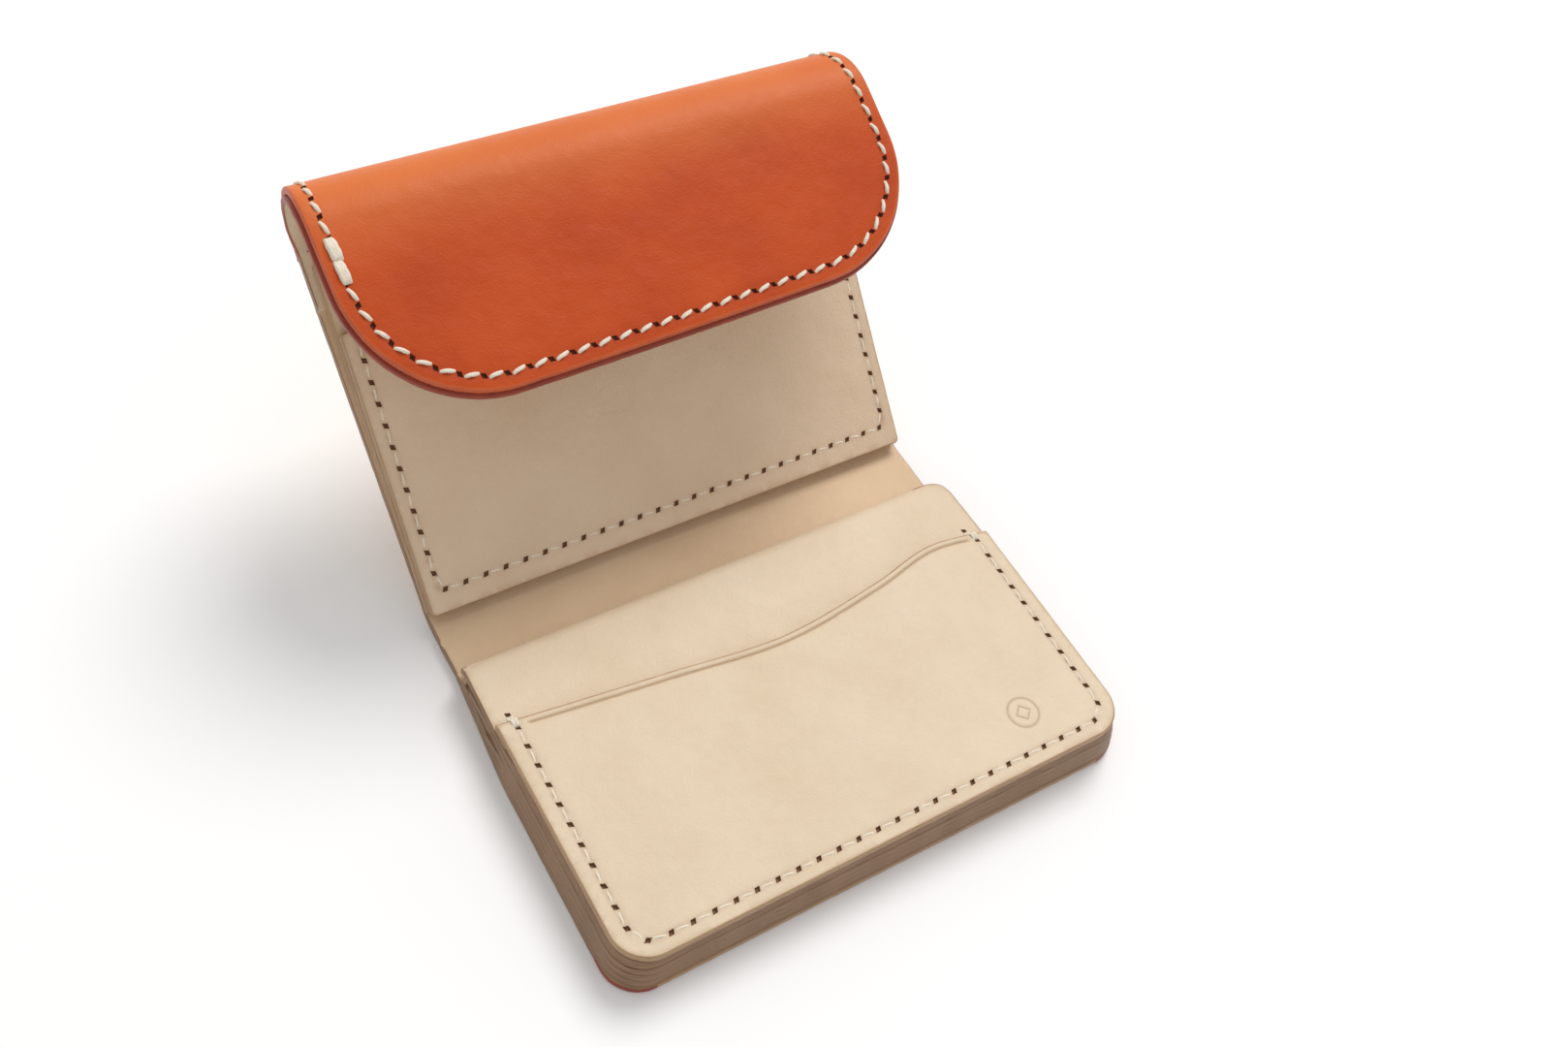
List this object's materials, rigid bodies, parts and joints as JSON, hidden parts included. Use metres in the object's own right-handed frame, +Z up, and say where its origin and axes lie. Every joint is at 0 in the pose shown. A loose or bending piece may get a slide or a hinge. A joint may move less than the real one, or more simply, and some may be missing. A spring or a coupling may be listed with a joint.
{
  "type": "folding leather card holder",
  "caption": "Folding leather card holder with stitched card pockets in both halves, a flexible spine and a curved flap that closes over it.",
  "frame": {"origin": "middle of the footprint, on the surface that the card holder lies on", "axes": "+Z up, +X across the pockets to the right, +Y from the front edge towards the spine and the upper half"},
  "size_m": [0.11, 0.1351, 0.0664],
  "materials": {
    "natural_leather": "smooth vegetable-tanned leather, undyed, burnished brown at the cut edges",
    "orange_leather": "orange-tan aniline leather, satin, fine grain",
    "linen_thread": "waxed cream linen thread"
  },
  "bodies": {
    "lower": {"body_lower": "natural_leather", "front_patch": "orange_leather", "lower_lining": "natural_leather", "lower_welt": "natural_leather", "card_divider": "natural_leather", "second_pocket": "natural_leather", "front_pocket": "natural_leather", "front_seam_thread": "linen_thread", "underside_seam_thread": "linen_thread", "mouth_tack_left": "linen_thread", "mouth_tack_right": "linen_thread"},
    "spine": {"body_spine": "natural_leather"},
    "upper": {"body_upper": "natural_leather", "stepped_pocket": "natural_leather", "upper_pocket": "natural_leather", "upper_seam_thread": "linen_thread", "stepped_seam_left": "linen_thread", "stepped_seam_right": "linen_thread", "upper_back_seam_thread": "linen_thread", "back_overlay": "orange_leather", "overlay_seam_thread": "linen_thread"},
    "flap": {"flap_outer": "orange_leather", "flap_lining": "natural_leather", "flap_seam_thread": "linen_thread", "flap_lining_seam_thread": "linen_thread", "flap_tack_upper": "linen_thread", "flap_tack_lower": "linen_thread"}
  },
  "joints": [
    {"name": "front_fold", "type": "hinge", "parent": "spine", "child": "lower", "pos_m": [0, -0.0004, 0.0022], "axis": [-1, 0, 0], "range_deg": [0, 90]},
    {"name": "rear_fold", "type": "hinge", "parent": "spine", "child": "upper", "pos_m": [0, 0.0122, 0.0022], "axis": [1, 0, 0], "range_deg": [-43, 46.5]},
    {"name": "flap_fold", "type": "hinge", "parent": "upper", "child": "flap", "pos_m": [0, 0.06455, 0.06293], "axis": [1, 0, 0], "range_deg": [-150, 4]}
  ]
}
